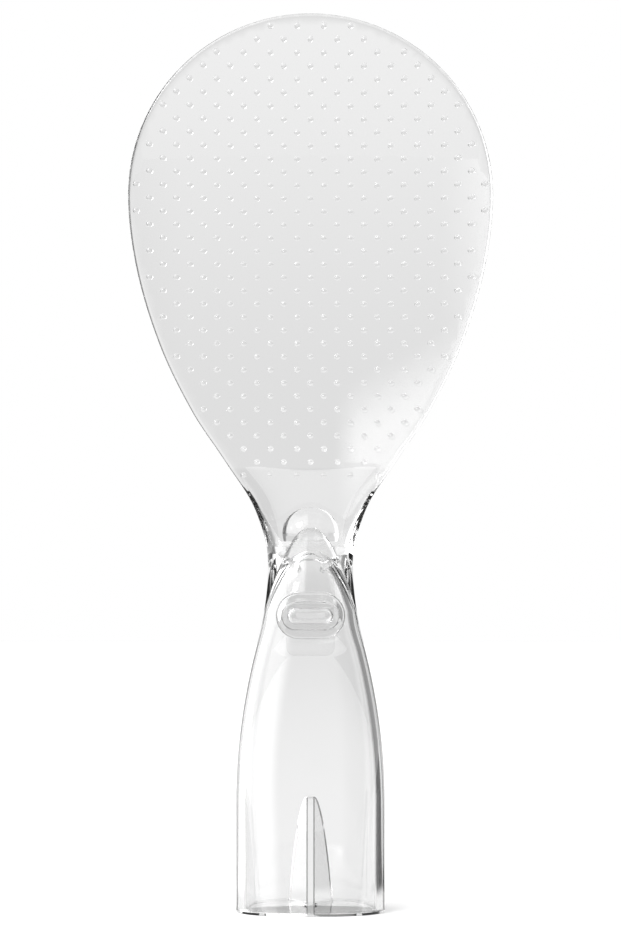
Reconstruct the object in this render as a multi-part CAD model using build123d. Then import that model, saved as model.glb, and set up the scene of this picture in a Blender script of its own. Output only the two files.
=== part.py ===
from build123d import *
import math
import os

# Clear moulded rice paddle that stands upright by itself on the flat underside of its foot plate, at z = 0.
# The hollow of the scoop faces -Y. Six pieces: the scoop with its root and tang, a front and a back handle
# shell, a foot plate, a locking stud and two pins. The shells are welded in a flat parting plane round the tang.

# Outline of the whole paddle, seen from the front
OVERALL_HEIGHT = 205.0
# Seam between scoop and handle, from which the heights of the neck's features are given
SEAM_HEIGHT = 83.0
SCOOP_HALF_WIDTH = 41.7
WAIST_HALF_WIDTH = 9.7
WAIST_SEAM_DROP = 4.0
FOOT_HALF_WIDTH = 17.0
FOOT_STRAIGHT_HEIGHT = 24.0
# Radius of the handle's full side as a share of both its arcs' radii together
HANDLE_ARC_SHARE = 0.678
# The scoop's side between waist and widest place, as shares of that rise and of that gain in width
SIDE_RISE_SHARES = (0.0, 0.15, 0.28, 0.41, 0.59, 0.80, 1.0)
SIDE_GAIN_SHARES = (0.0, 0.097, 0.312, 0.54, 0.772, 0.94, 1.0)
SIDE_LEVELS = 13

# Scoop: a sheet of even thickness, dished both ways, hollow towards -Y
SHEET_THICKNESS = 2.0
SHEET_EDGE_RADIUS = 0.7
DISH_RADIUS_ACROSS = 130.0
DISH_RADIUS_ALONG = 300.0
DISH_CENTRE_HEIGHT = 145.0
DISH_CENTRE_BACK = 6.0
DISH_SPARE = 4.0

# Nubs that keep rice from sticking, in staggered rows on both faces
NUB_PITCH = 6.14
NUB_ROW_STEP = 3.03
NUB_TOP_ROW_DROP = 2.7
FRONT_NUBS_SEAM_RISE = 15.6
BACK_NUBS_SEAM_RISE = 24.0
NUB_RADIUS = 0.9
NUB_HEIGHT = 0.55
NUB_ROOT_DEPTH = 0.15
NUB_EDGE_MARGIN = 1.62
NUB_SIDES = 6

# Handle: two shells that meet in a flat parting plane
PARTING_FRONT = 3.0
WALL = 1.8
SECTION_POWER = 2.5
SECTION_POINTS = 12
SHELL_LEVELS = 8
ARCH_APEX_SEAM_RISE = 4.4
ARCH_FOOT_SEAM_DROP = 15.0
ARCH_TIP_FLAT = 0.3
ARCH_CAVITY_DROP = 5.9
SHOULDER_SEAM_DROP = 18.0
SHOULDER_FRONT_DEPTH = 8.2
FOOT_FRONT_DEPTH = 14.0
FOOT_BACK_DEPTH = 20.0
BACK_FLARE_POWER = 1.3
TOP_WALL = 2.0

# Fold pressed into the back of the handle at the foot
FOLD_HEIGHT = 25.0
FOLD_DEPTH = 12.0
FOLD_HALF_WIDTH = 5.6
FOLD_NOSE_HALF_WIDTH = 0.1
FOLD_WALL = 1.2
FOLD_LEVELS = 7

# Foot plate with a low rim that locates it inside the shells
PLATE_THICKNESS = 1.3
RIM_HEIGHT = 2.4
RIM_THICKNESS = 1.2
RIM_CLEARANCE = 0.15

# Root of the scoop, which swells out of the sheet and ends in a flat seam on top of the back shell
SEAM_BACK_DEPTH = 8.5
ROOT_RISE = 21.0
ROOT_EDGE_STEP = 0.25
ROOT_FRONT_TRIM = 0.3
ROOT_TOP_FRONT_DEPTH = 0.9
ROOT_TOP_BACK_DEPTH = 1.6
ROOT_LEVELS = 6
TROUGH_FOOT_RISE = 1.2
TROUGH_FOOT_HALF_WIDTH = 6.8
TROUGH_TOP_RISE = 15.0
TROUGH_TOP_HALF_WIDTH = 15.6
TROUGH_SINK = 0.5
NOSE_TOP_RISE = 9.0
NOSE_CENTRE_RISE = 2.5
NOSE_HALF_WIDTH = 6.7
TANG_HALF_WIDTH = 5.6
TANG_THICKNESS = 2.4
TANG_FRONT_GAP = 0.4
TANG_LENGTH = 25.0
TANG_CORNER_RADIUS = 2.0
TANG_CLEARANCE = 0.1

# Pins through the tang, between the shells
PIN_RADIUS = 0.8
PIN_CLEARANCE = 0.05
PIN_HALF_SPACING = 3.2
PIN_SEAM_DROP = 4.5
PIN_FRONT_REACH = 4.4
PIN_BACK_REACH = 7.4

# Oval boss of the front shell, and the stud that locks the shell to the tang
BOSS_SEAM_DROP = 15.5
BOSS_LENGTH = 15.6
BOSS_WIDTH = 10.6
BOSS_FRONT_DEPTH = 9.2
BOSS_EDGE_RADIUS = 0.6
WINDOW_LENGTH = 13.6
WINDOW_WIDTH = 6.8
WINDOW_FLOOR = 1.8
STUD_CLEARANCE = 0.15
STUD_PROUD = 0.6
STUD_CAP_DEPTH = 3.0
STUD_EDGE_RADIUS = 0.5
STUD_DISH_LENGTH = 10.4
STUD_DISH_WIDTH = 3.6
STUD_DISH_DEPTH = 1.2
LEG_LENGTH = 6.8
LEG_THICKNESS = 1.4
LEG_SHOULDER = 0.8
LEG_CLEARANCE = 0.08

# Cutters run past the faces that they cut by this much
OVERRUN = 5.0

WIDEST_HEIGHT = OVERALL_HEIGHT - SCOOP_HALF_WIDTH
WAIST_HEIGHT = SEAM_HEIGHT - WAIST_SEAM_DROP
ARCH_APEX_HEIGHT = SEAM_HEIGHT + ARCH_APEX_SEAM_RISE
ARCH_FOOT_HEIGHT = SEAM_HEIGHT - ARCH_FOOT_SEAM_DROP
SHOULDER_HEIGHT = SEAM_HEIGHT - SHOULDER_SEAM_DROP
ROOT_TOP_HEIGHT = SEAM_HEIGHT + ROOT_RISE
TROUGH_FOOT_HEIGHT = SEAM_HEIGHT + TROUGH_FOOT_RISE
TROUGH_TOP_HEIGHT = SEAM_HEIGHT + TROUGH_TOP_RISE
NOSE_TOP_HEIGHT = SEAM_HEIGHT + NOSE_TOP_RISE
NOSE_CENTRE_HEIGHT = SEAM_HEIGHT + NOSE_CENTRE_RISE
PIN_HEIGHT = SEAM_HEIGHT - PIN_SEAM_DROP
BOSS_HEIGHT = SEAM_HEIGHT - BOSS_SEAM_DROP
PARTING_Y = -PARTING_FRONT
TANG_FRONT_Y = PARTING_Y + TANG_FRONT_GAP
WINDOW_FLOOR_Y = PARTING_Y - BOSS_FRONT_DEPTH - STUD_PROUD + STUD_CAP_DEPTH


def share_curve(share):
    """Gain in width at a share of the rise, smooth through the listed shares."""
    last = len(SIDE_RISE_SHARES) - 1
    k = max(i for i in range(last) if SIDE_RISE_SHARES[i] <= share)

    def slope(i):
        if i in (0, last):
            return 0
        rise = SIDE_RISE_SHARES[i + 1] - SIDE_RISE_SHARES[i - 1]
        return (SIDE_GAIN_SHARES[i + 1] - SIDE_GAIN_SHARES[i - 1]) / rise

    step = SIDE_RISE_SHARES[k + 1] - SIDE_RISE_SHARES[k]
    t = (share - SIDE_RISE_SHARES[k]) / step
    start, end = SIDE_GAIN_SHARES[k], SIDE_GAIN_SHARES[k + 1]
    value = (1 + 2 * t) * (1 - t) ** 2 * start + t**2 * (3 - 2 * t) * end
    return value + step * (t * (1 - t) ** 2 * slope(k) - t**2 * (1 - t) * slope(k + 1))


def half_width(z):
    """Half the width of the whole paddle's outline at height z."""
    if z >= WIDEST_HEIGHT:
        return math.sqrt(max(SCOOP_HALF_WIDTH**2 - (z - WIDEST_HEIGHT) ** 2, 0))
    if z >= WAIST_HEIGHT:
        share = (z - WAIST_HEIGHT) / (WIDEST_HEIGHT - WAIST_HEIGHT)
        return WAIST_HALF_WIDTH + (SCOOP_HALF_WIDTH - WAIST_HALF_WIDTH) * share_curve(share)
    if z <= FOOT_STRAIGHT_HEIGHT:
        return FOOT_HALF_WIDTH
    # Below the waist two tangent arcs make an S: hollow under the waist, full towards the foot
    rise = WAIST_HEIGHT - FOOT_STRAIGHT_HEIGHT
    turn = 2 * math.atan((FOOT_HALF_WIDTH - WAIST_HALF_WIDTH) / rise)
    full_radius = rise / math.sin(turn) * HANDLE_ARC_SHARE
    waist_radius = rise / math.sin(turn) - full_radius
    up = z - FOOT_STRAIGHT_HEIGHT
    if up <= full_radius * math.sin(turn):
        return FOOT_HALF_WIDTH - full_radius + math.sqrt(full_radius**2 - up**2)
    down = WAIST_HEIGHT - z
    return WAIST_HALF_WIDTH + waist_radius - math.sqrt(waist_radius**2 - down**2)


def edge_gap(x, z):
    """Least distance from (x, z) to the scoop's outline, less than zero outside it."""
    if z >= WIDEST_HEIGHT:
        return SCOOP_HALF_WIDTH - math.hypot(x, z - WIDEST_HEIGHT)
    lean = (half_width(z + ROOT_EDGE_STEP) - half_width(z)) / ROOT_EDGE_STEP
    return (half_width(z) - abs(x)) / math.hypot(1, lean)


def arch_half_width(z, drop):
    """Half the width of the front shell: a parabola under the apex that runs into the outline lower down."""
    foot = ARCH_FOOT_HEIGHT - drop
    apex = ARCH_APEX_HEIGHT - drop
    if z <= foot:
        return half_width(z)
    return half_width(ARCH_FOOT_HEIGHT) * math.sqrt((apex - z) / (apex - foot))


def front_depth(z, drop, inset):
    """How far the front face stands before the parting plane at height z. drop and inset give the cavity's."""
    shoulder = SHOULDER_HEIGHT - drop
    flare = (FOOT_FRONT_DEPTH - SHOULDER_FRONT_DEPTH) * (1 - min(z, shoulder) / SHOULDER_HEIGHT)
    depth = SHOULDER_FRONT_DEPTH + flare - inset
    if z <= shoulder:
        return depth
    rise = (z - shoulder) / (ARCH_APEX_HEIGHT - SHOULDER_HEIGHT)
    return depth * math.sqrt(1 - rise**2)


def back_depth(z):
    """How far the handle's back face stands behind the parting plane at height z."""
    share = max(1 - z / SEAM_HEIGHT, 0)
    return SEAM_BACK_DEPTH + (FOOT_BACK_DEPTH - SEAM_BACK_DEPTH) * share**BACK_FLARE_POWER


def dish_y(x, z, back):
    """Place along Y of the surface that lies back behind the sheet's hollow face, where it passes (x, z)."""
    reach = DISH_RADIUS_ALONG - DISH_RADIUS_ACROSS + math.sqrt((DISH_RADIUS_ACROSS + back) ** 2 - x**2)
    return DISH_CENTRE_BACK - DISH_RADIUS_ALONG + math.sqrt(reach**2 - (z - DISH_CENTRE_HEIGHT) ** 2)


SEAM_MIDDLE_Y = dish_y(half_width(SEAM_HEIGHT) - ROOT_EDGE_STEP, SEAM_HEIGHT, SHEET_THICKNESS / 2)


def levels(low, high, count):
    """Evenly spaced heights from low to high."""
    return [low + (high - low) * k / (count - 1) for k in range(count)]


def tip_levels(low, high, count):
    """Heights from low to high that crowd towards the top, for a form that closes there."""
    return [high - (high - low) * (1 - k / (count - 1)) ** 2 for k in range(count)]


def hood_levels(low, drop):
    """Heights for the front shell: even up to the shoulder, then crowded towards the arch's apex."""
    shoulder = SHOULDER_HEIGHT - drop
    high = ARCH_APEX_HEIGHT - ARCH_TIP_FLAT - drop
    return levels(low, shoulder, SHELL_LEVELS)[:-1] + tip_levels(shoulder, high, SHELL_LEVELS)


def rounded(angle):
    """Place at an angle on a rounded outline, between ellipse and rectangle, that is 1 deep and half wide."""
    across, out = math.cos(angle), math.sin(angle)
    power = 2 / SECTION_POWER
    return math.copysign(abs(across) ** power, across), math.copysign(abs(out) ** power, out)


def half_section(z, wide, deep, side):
    """Flat face at height z between the parting plane and a rounded bow, before it where side is -1."""
    places = [rounded(math.pi * k / SECTION_POINTS) for k in range(SECTION_POINTS + 1)]
    bow = Spline(
        [(-across * wide, PARTING_Y + side * out * deep, z) for across, out in places],
        tangents=[(0, side, 0), (0, -side, 0)],
    )
    return make_face([bow, Line(bow @ 1, bow @ 0)])


def full_section(z, wide, front, back, middle):
    """Flat face at height z, rounded before and behind its widest place."""
    places = [rounded(math.pi * k / SECTION_POINTS) for k in range(2 * SECTION_POINTS)]
    ring = [(across * wide, middle + out * (back if out > 0 else front), z) for across, out in places]
    return make_face([Spline(ring, periodic=True)])


def behind_parting(shape):
    return split(shape, bisect_by=Plane.XZ.offset(PARTING_FRONT), keep=Keep.BOTTOM)


def above_seam(shape):
    return split(shape, bisect_by=Plane.XY.offset(SEAM_HEIGHT), keep=Keep.TOP)


def fold_section(z, grow):
    """V-shaped face at height z, open towards the back. grow makes the fold larger all round."""
    slope = (FOLD_HALF_WIDTH - FOLD_NOSE_HALF_WIDTH) / FOLD_DEPTH
    top = FOLD_HEIGHT + grow
    back = PARTING_Y + back_depth(z)
    nose = back - (FOLD_DEPTH + grow) * math.sqrt(max(1 - z / top, 0))
    mouth = PARTING_Y + FOOT_BACK_DEPTH + OVERRUN
    nose_half = FOLD_NOSE_HALF_WIDTH + grow * (math.sqrt(1 + slope**2) - slope)
    mouth_half = nose_half + (mouth - nose) * slope
    return make_face(
        Polyline(
            (-nose_half, nose, z), (nose_half, nose, z), (mouth_half, mouth, z), (-mouth_half, mouth, z), close=True
        )
    )


def fold(grow, low):
    """Wedge that presses the fold into the back, from the height low to the fold's top."""
    heights = tip_levels(low, FOLD_HEIGHT + grow, FOLD_LEVELS)
    return loft([fold_section(z, grow) for z in heights], ruled=True)


def dish(front, back):
    """Part of a dished block, between two distances behind the sheet's hollow face."""
    centre = DISH_CENTRE_BACK - DISH_RADIUS_ACROSS
    reach = SCOOP_HALF_WIDTH + DISH_SPARE

    def arc(radius):
        end = centre + math.sqrt(radius**2 - reach**2)
        ends = [(side * reach, end, DISH_CENTRE_HEIGHT) for side in (-1, 1)]
        return ThreePointArc(ends[0], (0, centre + radius, DISH_CENTRE_HEIGHT), ends[1])

    near, far = arc(DISH_RADIUS_ACROSS + front), arc(DISH_RADIUS_ACROSS + back)
    profile = make_face([near, far, Line(near @ 0, far @ 0), Line(near @ 1, far @ 1)])
    axis = Axis((0, DISH_CENTRE_BACK - DISH_RADIUS_ALONG, DISH_CENTRE_HEIGHT), (1, 0, 0))
    rise = max(OVERALL_HEIGHT - DISH_CENTRE_HEIGHT, DISH_CENTRE_HEIGHT - SEAM_HEIGHT) + DISH_SPARE
    turn = math.degrees(math.asin(rise / (DISH_RADIUS_ALONG - SHEET_THICKNESS)))
    return revolve(profile.rotate(axis, -turn), axis, 2 * turn)


def outline_prism():
    """The scoop's front outline above the seam, as a solid along Y."""
    side = [(half_width(z), 0, z) for z in levels(SEAM_HEIGHT, WIDEST_HEIGHT, SIDE_LEVELS)]
    near_seam = (half_width(SEAM_HEIGHT + ROOT_EDGE_STEP) - half_width(SEAM_HEIGHT)) / ROOT_EDGE_STEP
    right = Spline(side, tangents=[(near_seam, 0, 1), (0, 0, 1)])
    left = mirror(right, Plane.YZ)
    top = ThreePointArc(right @ 1, (0, 0, OVERALL_HEIGHT), left @ 1)
    face = make_face([right, top, left, Line(left @ 0, right @ 0)])
    return extrude(face, amount=FOOT_BACK_DEPTH, both=True)


def sheet():
    """The dished sheet, cut to the outline, with both its long edges rounded."""
    blank = dish(0, SHEET_THICKNESS) & outline_prism()
    rim = [
        edge
        for edge in blank.edges()
        if edge.length > SCOOP_HALF_WIDTH and edge.bounding_box().size.Z > SHEET_THICKNESS
    ]
    return fillet(rim, SHEET_EDGE_RADIUS)


def root_section(z):
    """Section of the root at height z, widest where the sheet's edge is."""
    wide = half_width(z) - ROOT_EDGE_STEP
    middle = dish_y(wide, z, SHEET_THICKNESS / 2)
    rise = (z - SEAM_HEIGHT) / (ROOT_TOP_HEIGHT - SEAM_HEIGHT)
    seam_front = SEAM_MIDDLE_Y - PARTING_Y + ROOT_FRONT_TRIM
    seam_back = PARTING_Y + SEAM_BACK_DEPTH - SEAM_MIDDLE_Y
    front = seam_front + (ROOT_TOP_FRONT_DEPTH - seam_front) * rise
    back = seam_back + (ROOT_TOP_BACK_DEPTH - seam_back) * rise
    return full_section(z, wide, front, back, middle)


def trough():
    """Cutter for the trough in the root's front, between the side rails."""
    slope = (TROUGH_TOP_HALF_WIDTH - TROUGH_FOOT_HALF_WIDTH) / (TROUGH_TOP_HEIGHT - TROUGH_FOOT_HEIGHT)
    top = ROOT_TOP_HEIGHT + OVERRUN
    top_half = TROUGH_FOOT_HALF_WIDTH + slope * (top - TROUGH_FOOT_HEIGHT)
    outline = Polyline(
        (-TROUGH_FOOT_HALF_WIDTH, 0, TROUGH_FOOT_HEIGHT),
        (TROUGH_FOOT_HALF_WIDTH, 0, TROUGH_FOOT_HEIGHT),
        (top_half, 0, top),
        (-top_half, 0, top),
        close=True,
    )
    prism = extrude(make_face(outline), amount=FOOT_BACK_DEPTH, both=True)
    return prism & dish(-FOOT_BACK_DEPTH, TROUGH_SINK)


def nose():
    """Rounded swelling in the trough, above the tang. Its top runs out in the sheet's hollow face."""
    middle = dish_y(0, NOSE_TOP_HEIGHT, 0)
    front = middle - PARTING_Y + ROOT_FRONT_TRIM
    ball = scale(Sphere(1), by=(NOSE_HALF_WIDTH, front, NOSE_TOP_HEIGHT - NOSE_CENTRE_HEIGHT))
    return above_seam(behind_parting(ball.moved(Location((0, middle, NOSE_CENTRE_HEIGHT)))))


def tang():
    """Flat tongue that hangs from the root between the shells, with its pin holes and the slot for the stud."""
    low = SEAM_HEIGHT - TANG_LENGTH
    top = SEAM_HEIGHT + TANG_THICKNESS
    blank = Box(
        2 * TANG_HALF_WIDTH, TANG_THICKNESS, top - low, align=(Align.CENTER, Align.MIN, Align.MIN)
    ).moved(Location((0, TANG_FRONT_Y, low)))
    corners = blank.edges().filter_by(Axis.Y).group_by(Axis.Z)[0]
    return fillet(corners, TANG_CORNER_RADIUS) - pins(PIN_CLEARANCE) - leg(LEG_CLEARANCE)


def nub(x, z, outward):
    """Plane of one nub on the sheet at (x, z), on the back face for outward 1 and on the hollow face for -1."""
    back = SHEET_THICKNESS if outward > 0 else 0
    side_turn = math.asin(x / (DISH_RADIUS_ACROSS + back))
    reach = DISH_RADIUS_ALONG - DISH_RADIUS_ACROSS + (DISH_RADIUS_ACROSS + back) * math.cos(side_turn)
    rise_turn = math.asin((z - DISH_CENTRE_HEIGHT) / reach)
    level = math.cos(side_turn)
    away = Vector(math.sin(side_turn), level * math.cos(rise_turn), level * math.sin(rise_turn))
    return Plane(origin=(x, dish_y(x, z, back), z), x_dir=(0, 0, 1), z_dir=away * outward)


def nub_places(foot_height, outward):
    """Places of the nubs: rows across the scoop, every second one moved by half a pitch."""
    places = []
    row = 0
    z = OVERALL_HEIGHT - NUB_TOP_ROW_DROP
    while z > foot_height:
        x = NUB_PITCH / 2 if row % 2 == 0 else 0
        while edge_gap(x, z) > NUB_EDGE_MARGIN:
            places += [nub(side, z, outward) for side in ({x, -x})]
            x += NUB_PITCH
        row += 1
        z -= NUB_ROW_STEP
    return places


def nubs():
    """All nubs of both faces."""
    base = RegularPolygon(NUB_RADIUS * (NUB_HEIGHT + NUB_ROOT_DEPTH) / NUB_HEIGHT, NUB_SIDES)
    pyramid = loft([base.face().moved(Location((0, 0, -NUB_ROOT_DEPTH))), Vertex(0, 0, NUB_HEIGHT)])
    solid = pyramid.solid()
    places = nub_places(SEAM_HEIGHT + FRONT_NUBS_SEAM_RISE, -1)
    places += nub_places(SEAM_HEIGHT + BACK_NUBS_SEAM_RISE, 1)
    return [solid.moved(place.location) for place in places]


def smooth_blade():
    """Scoop without nubs: dished sheet, root with trough, rails and nose, and the tang."""
    root = loft([root_section(z) for z in levels(SEAM_HEIGHT, ROOT_TOP_HEIGHT, ROOT_LEVELS)])
    return above_seam(sheet()) + behind_parting(root - trough()) + nose() + tang()


def blade():
    """Scoop in one piece, with the nubs on both faces."""
    return smooth_blade() + nubs()


def pins(grow):
    """The two pins, or their holes where grow is the clearance."""
    length = PIN_FRONT_REACH + PIN_BACK_REACH
    middle = PARTING_Y + (PIN_BACK_REACH - PIN_FRONT_REACH) / 2
    pin = Cylinder(PIN_RADIUS + grow, length + 2 * grow, rotation=(90, 0, 0))
    return [pin.moved(Location((side * PIN_HALF_SPACING, middle, PIN_HEIGHT))) for side in (-1, 1)]


def oval(length, width, front, back):
    """Oval block with flat ends, between two places along Y."""
    shape = SlotOverall(length, width)
    block = extrude(shape, amount=back - front)
    return block.moved(Location((0, front, BOSS_HEIGHT), (-90, 0, 0)))


def leg(grow):
    """Flat leg of the stud, from its cap back through the tang, or its slot where grow is the clearance."""
    back = TANG_FRONT_Y + TANG_THICKNESS + LEG_SHOULDER
    return oval(LEG_LENGTH + 2 * grow, LEG_THICKNESS + 2 * grow, WINDOW_FLOOR_Y, back + grow)


def stud():
    """Locking stud: an oval cap with a dished face, on a flat leg."""
    front = PARTING_Y - BOSS_FRONT_DEPTH - STUD_PROUD
    cap = oval(WINDOW_LENGTH - 2 * STUD_CLEARANCE, WINDOW_WIDTH - 2 * STUD_CLEARANCE, front, WINDOW_FLOOR_Y)
    cap = fillet(cap.edges().group_by(Axis.Y)[0], STUD_EDGE_RADIUS)
    hollow = oval(STUD_DISH_LENGTH, STUD_DISH_WIDTH, front - OVERRUN, front + STUD_DISH_DEPTH)
    return cap - hollow + leg(0)


def front_shell():
    """Front half of the handle, a hood that ends in an arch over the scoop's nose, with the oval boss."""
    drop = ARCH_CAVITY_DROP
    outer = loft(
        [
            half_section(z, arch_half_width(z, 0), front_depth(z, 0, 0), -1)
            for z in hood_levels(PLATE_THICKNESS, 0)
        ]
    )
    cavity = loft(
        [
            half_section(
                z,
                min(arch_half_width(z, drop), half_width(z) - WALL),
                front_depth(z, drop, WALL),
                -1,
            )
            for z in hood_levels(0, drop)
        ]
    )
    boss_front = PARTING_Y - BOSS_FRONT_DEPTH
    boss = oval(BOSS_LENGTH, BOSS_WIDTH, boss_front, WINDOW_FLOOR_Y + WINDOW_FLOOR)
    boss = fillet(boss.edges().group_by(Axis.Y)[0], BOSS_EDGE_RADIUS)
    window = oval(WINDOW_LENGTH, WINDOW_WIDTH, boss_front - OVERRUN, WINDOW_FLOOR_Y)
    return outer - cavity + boss - window - leg(LEG_CLEARANCE) - pins(PIN_CLEARANCE)


def back_outer(z, inset):
    """Section of the back shell at height z, inset by a wall for its cavity."""
    wide = half_width(z) - inset
    middle = PARTING_Y
    front = front_depth(min(z, SHOULDER_HEIGHT), 0, 0)
    back = back_depth(z)
    if z > ARCH_FOOT_HEIGHT:
        rise = (z - ARCH_FOOT_HEIGHT) / (SEAM_HEIGHT - ARCH_FOOT_HEIGHT)
        middle = PARTING_Y + (SEAM_MIDDLE_Y - PARTING_Y) * rise**2 * (3 - 2 * rise)
        front += (SEAM_MIDDLE_Y - PARTING_Y + ROOT_FRONT_TRIM - front) * rise
        back = PARTING_Y + back - middle
    return full_section(z, wide, front - inset, back - inset, middle)


def back_shell():
    """Back half of the handle, with the fold at its foot and a slot for the tang in its top."""
    outer = loft([back_outer(z, 0) for z in levels(PLATE_THICKNESS, SEAM_HEIGHT, SHELL_LEVELS)])
    cavity = loft([back_outer(z, WALL) for z in levels(0, SEAM_HEIGHT - TOP_WALL, SHELL_LEVELS)])
    slot = Box(
        2 * (TANG_HALF_WIDTH + TANG_CLEARANCE),
        2 * (TANG_FRONT_GAP + TANG_THICKNESS + TANG_CLEARANCE),
        2 * (TOP_WALL + OVERRUN),
    ).moved(Location((0, PARTING_Y, SEAM_HEIGHT)))
    shell = behind_parting(outer) - fold(0, 0) - (cavity - fold(FOLD_WALL, 0))
    return shell - slot - pins(PIN_CLEARANCE)


def foot_outline(inset, z):
    """Outline of both shells and the fold at height z, inset all round from the walls' outer faces."""
    wide = FOOT_HALF_WIDTH - inset
    front = half_section(0, wide, front_depth(z, 0, inset), -1)
    back = half_section(0, wide, back_depth(z) - inset, 1)
    return front + back - fold_section(0, max(inset - WALL + FOLD_WALL, 0))


def foot_plate():
    """Flat plate that closes the handle and stands on the table, with its locating rim."""
    plate = extrude(foot_outline(0, 0), amount=PLATE_THICKNESS, dir=(0, 0, 1))
    rim_top = PLATE_THICKNESS + RIM_HEIGHT
    outside = WALL + RIM_CLEARANCE
    ring = foot_outline(outside, rim_top) - foot_outline(outside + RIM_THICKNESS, rim_top)
    return plate + extrude(ring, amount=rim_top, dir=(0, 0, 1))


def main():
    os.makedirs("parts", exist_ok=True)
    nodes = {
        "blade": blade(),
        "handle_front_shell": front_shell(),
        "handle_back_shell": back_shell(),
        "foot_plate": foot_plate(),
        "locking_stud": stud(),
        "tang_pins": Compound(children=pins(0)),
    }
    for name, shape in nodes.items():
        export_step(shape, f"parts/{name}.step")


if __name__ == "__main__":
    main()
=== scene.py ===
import math

import bmesh
import bpy
from mathutils import Matrix, Vector, kdtree
from mathutils.geometry import delaunay_2d_cdt


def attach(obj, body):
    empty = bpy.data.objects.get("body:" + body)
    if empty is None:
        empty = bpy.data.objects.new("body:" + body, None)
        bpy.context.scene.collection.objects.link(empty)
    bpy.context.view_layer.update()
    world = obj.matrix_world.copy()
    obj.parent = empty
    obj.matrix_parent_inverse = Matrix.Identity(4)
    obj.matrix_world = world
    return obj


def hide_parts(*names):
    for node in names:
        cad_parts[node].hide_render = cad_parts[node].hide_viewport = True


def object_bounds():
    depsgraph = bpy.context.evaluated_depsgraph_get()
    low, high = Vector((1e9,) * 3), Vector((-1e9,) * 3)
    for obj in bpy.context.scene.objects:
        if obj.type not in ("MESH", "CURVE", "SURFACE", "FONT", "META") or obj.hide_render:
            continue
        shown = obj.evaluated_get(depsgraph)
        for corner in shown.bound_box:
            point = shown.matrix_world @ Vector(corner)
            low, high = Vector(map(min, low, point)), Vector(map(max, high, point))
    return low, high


# A clear moulded rice paddle that stands on its own flat foot. All lengths are in metres. The hollow of the
# scoop faces -Y, towards the camera.
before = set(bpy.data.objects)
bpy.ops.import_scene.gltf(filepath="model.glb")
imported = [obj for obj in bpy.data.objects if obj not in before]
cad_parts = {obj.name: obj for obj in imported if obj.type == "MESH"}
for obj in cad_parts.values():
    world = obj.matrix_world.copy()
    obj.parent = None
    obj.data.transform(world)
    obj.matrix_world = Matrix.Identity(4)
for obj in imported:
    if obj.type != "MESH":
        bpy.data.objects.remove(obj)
cad_low, cad_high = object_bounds()
scene = bpy.context.scene

# Camera, straight in front near half the paddle's height and a metre away: the front edge of the foot shows
# a little lower than its back edge, and both sides look the same.
VIEW_DISTANCE = 1.0
VIEW_HEIGHT = 0.1015
VIEW_WIDTH = 0.1421
SENSOR_WIDTH = 36.0

lens = bpy.data.cameras.new("view")
lens.sensor_fit = "HORIZONTAL"
lens.sensor_width = SENSOR_WIDTH
lens.lens = SENSOR_WIDTH * VIEW_DISTANCE / VIEW_WIDTH
camera = bpy.data.objects.new("view", lens)
camera.location = (0, -VIEW_DISTANCE, VIEW_HEIGHT)
camera.rotation_euler = (math.pi / 2, 0, 0)
scene.collection.objects.link(camera)
scene.camera = camera
scene.view_settings.view_transform = "Standard"


class Value:
    """One socket of a shader tree, so that shader arithmetic is written as plain arithmetic."""

    def __init__(self, tree, socket=None):
        self.tree = tree
        self.socket = socket

    def node(self, kind, inputs, output=0, **settings):
        """Adds a node with these inputs, given by name or number, and returns one of its outputs."""
        made = self.tree.nodes.new(kind)
        for name, setting in settings.items():
            setattr(made, name, setting)
        for name, given in inputs.items():
            if isinstance(given, Value):
                self.tree.links.new(given.socket, made.inputs[name])
            else:
                made.inputs[name].default_value = given
        return Value(self.tree, made.outputs[output] if len(made.outputs) else None)

    def maths(self, operation, first, second):
        return self.node("ShaderNodeMath", {0: first, 1: second}, operation=operation)

    def __add__(self, other):
        return self.maths("ADD", self, other)

    def __sub__(self, other):
        return self.maths("SUBTRACT", self, other)

    def __mul__(self, other):
        return self.maths("MULTIPLY", self, other)

    def __radd__(self, other):
        return self.maths("ADD", other, self)

    def __rsub__(self, other):
        return self.maths("SUBTRACT", other, self)

    def __rmul__(self, other):
        return self.maths("MULTIPLY", other, self)

    def ramp(self, low, high, start=0.0, end=1.0):
        """Goes smoothly from start to end while this value goes from low to high."""
        inputs = {"Value": self, "From Min": low, "From Max": high, "To Min": start, "To Max": end}
        return self.node("ShaderNodeMapRange", inputs, interpolation_type="SMOOTHSTEP")

    def towards(self, other, share):
        """This value, moved to the other one as share goes from 0 to 1."""
        return self + share * (other - self)

    def between(self, first, second):
        """Colour between two, as this value goes from 0 to 1."""
        inputs = {"Factor": self, "A": first, "B": second}
        return self.node("ShaderNodeMix", inputs, "Result", data_type="RGBA")


def grey(level):
    return (level, level, level, 1.0)


# Studio. Clear plastic shows what is round it: pale card behind, darker towards the horizon, a bright sheet
# to the left and the dark room to the right. Where nothing stands before them, card and floor are white.
# Each edge is the pair of directions, as parts of a unit vector, between which one level fades into another.
CARD_LEVEL = 0.91
HORIZON_LEVEL = 0.76
LEFT_LEVEL = 2.4
RIGHT_LEVEL = 0.28
FRONT_LEVEL = 0.65
ABOVE_LEVEL = 0.8
REFLECTOR_LEVEL = 3.3
HORIZON_EDGE = (0.0, 0.12)
FRONT_EDGE = (-0.3, 0.6)
ABOVE_EDGE = (0.4, 0.7)
RIGHT_EDGE = (0.38, 0.6)
LEFT_EDGE = (-0.4, -0.65)
REFLECTOR_FRONT_EDGE = (-0.1, -0.4)
REFLECTOR_SIDE_EDGE = (-0.07, -0.17)
REFLECTOR_LOW_EDGE = (0.2, 0.3)
REFLECTOR_SLANT = 0.23

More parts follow.
